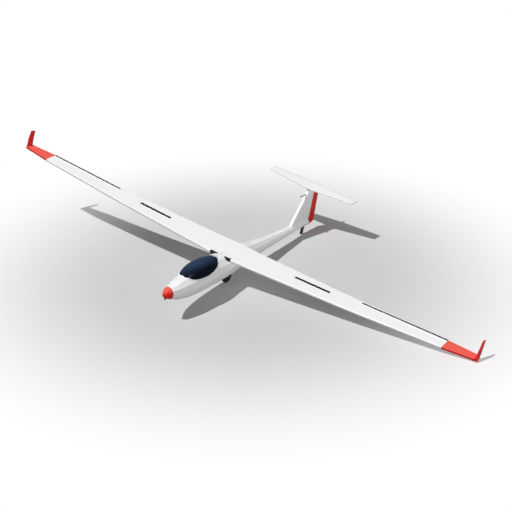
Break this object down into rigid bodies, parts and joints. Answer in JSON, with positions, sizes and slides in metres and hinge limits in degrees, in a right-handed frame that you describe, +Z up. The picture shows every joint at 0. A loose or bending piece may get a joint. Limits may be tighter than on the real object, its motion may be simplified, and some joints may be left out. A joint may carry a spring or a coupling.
{
  "type": "sailplane glider",
  "caption": "Single-seat sailplane parked on its belly wheel and port tip skid, with T-tail, bubble canopy, ailerons, airbrakes and red tips.",
  "frame": {"origin": "centre of the parked aircraft's bounding box, on the ground", "axes": "+X to the port wing tip, -Y to the nose, +Z up; the aircraft leans about 8.9 degrees onto its port tip skid"},
  "size_m": [14.9268, 7.332, 2.888],
  "materials": {
    "white_gelcoat": "gloss",
    "red_gelcoat": "gloss",
    "dark_plastic": "satin",
    "canopy_glass": "gloss",
    "tyre_rubber": "matte",
    "fittings": "satin",
    "upholstery": "matte",
    "grey_composite": "matte"
  },
  "bodies": {
    "airframe": {"nose_cap": "red_gelcoat", "pitot_probe": "dark_plastic", "cockpit_shell": "white_gelcoat", "seat_pan": "grey_composite", "seat_cushion": "upholstery", "headrest": "upholstery", "instrument_panel": "dark_plastic", "control_stick": "dark_plastic", "rudder_pedals": "fittings", "centre_fuselage": "white_gelcoat", "tail_boom": "white_gelcoat", "root_vent_port": "dark_plastic", "root_vent_starboard": "dark_plastic", "wing_panel_port": "white_gelcoat", "wing_tip_port": "red_gelcoat", "winglet_port": "red_gelcoat", "tip_skid_port": "dark_plastic", "wing_panel_starboard": "white_gelcoat", "wing_tip_starboard": "red_gelcoat", "winglet_starboard": "red_gelcoat", "tip_skid_starboard": "dark_plastic", "fin": "white_gelcoat", "tailplane": "white_gelcoat", "tail_probe": "dark_plastic", "main_axle": "fittings", "main_leg_port": "dark_plastic", "main_leg_starboard": "dark_plastic", "tail_leg": "dark_plastic", "tail_axle": "fittings", "tow_hook": "fittings"},
    "main_wheel": {"main_tyre": "tyre_rubber", "main_hub": "fittings"},
    "tail_wheel": {"tail_tyre": "tyre_rubber", "tail_hub": "fittings"},
    "canopy_lid": {"canopy": "canopy_glass", "canopy_frame": "dark_plastic"},
    "rudder_surface": {"rudder": "red_gelcoat"},
    "elevator_surface": {"elevator": "white_gelcoat"},
    "aileron_left": {"aileron_port": "white_gelcoat", "aileron_strip_port": "dark_plastic"},
    "aileron_right": {"aileron_starboard": "white_gelcoat", "aileron_strip_starboard": "dark_plastic"},
    "airbrake_left": {"airbrake_port": "dark_plastic"},
    "airbrake_right": {"airbrake_starboard": "dark_plastic"}
  },
  "joints": [
    {"name": "main_wheel_spin", "type": "hinge", "parent": "airframe", "child": "main_wheel", "pos_m": [-0.18959, -0.766, 0.17827], "axis": [0.9879, 0, -0.1554], "continuous": true},
    {"name": "tail_wheel_spin", "type": "hinge", "parent": "airframe", "child": "tail_wheel", "pos_m": [-0.20606, 3.049, 0.07356], "axis": [0.9879, 0, -0.1554], "continuous": true},
    {"name": "canopy_open", "type": "hinge", "parent": "airframe", "child": "canopy_lid", "pos_m": [-0.04274, -2.956, 1.11179], "axis": [0.9879, 0, -0.1554], "range_deg": [0, 50]},
    {"name": "rudder_swing", "type": "hinge", "parent": "airframe", "child": "rudder_surface", "pos_m": [-0.08376, 3.32754, 0.85099], "axis": [0.155, 0.0683, 0.9855], "range_deg": [-30, 30]},
    {"name": "elevator_tilt", "type": "hinge", "parent": "airframe", "child": "elevator_surface", "pos_m": [0.02875, 3.329, 1.5662], "axis": [0.9879, 0, -0.1554], "range_deg": [-25, 25]},
    {"name": "aileron_port_tilt", "type": "hinge", "parent": "airframe", "child": "aileron_left", "pos_m": [5.22953, -0.637, 0.36125], "axis": [0.9924, -0.0135, -0.1224], "range_deg": [-20, 20]},
    {"name": "aileron_starboard_tilt", "type": "hinge", "parent": "airframe", "child": "aileron_right", "pos_m": [-5.29079, -0.637, 2.01623], "axis": [0.982, 0.0135, -0.1882], "range_deg": [-20, 20]},
    {"name": "airbrake_port_raise", "type": "slide", "parent": "airframe", "child": "airbrake_left", "axis": [0.1554, 0, 0.9879], "range_m": [0, 0.034]},
    {"name": "airbrake_starboard_raise", "type": "slide", "parent": "airframe", "child": "airbrake_right", "axis": [0.1554, 0, 0.9879], "range_m": [0, 0.034]}
  ],
  "couplings": [
    {"joint": "aileron_starboard_tilt", "follows": "aileron_port_tilt", "ratio": -1},
    {"joint": "airbrake_starboard_raise", "follows": "airbrake_port_raise", "ratio": 1}
  ]
}
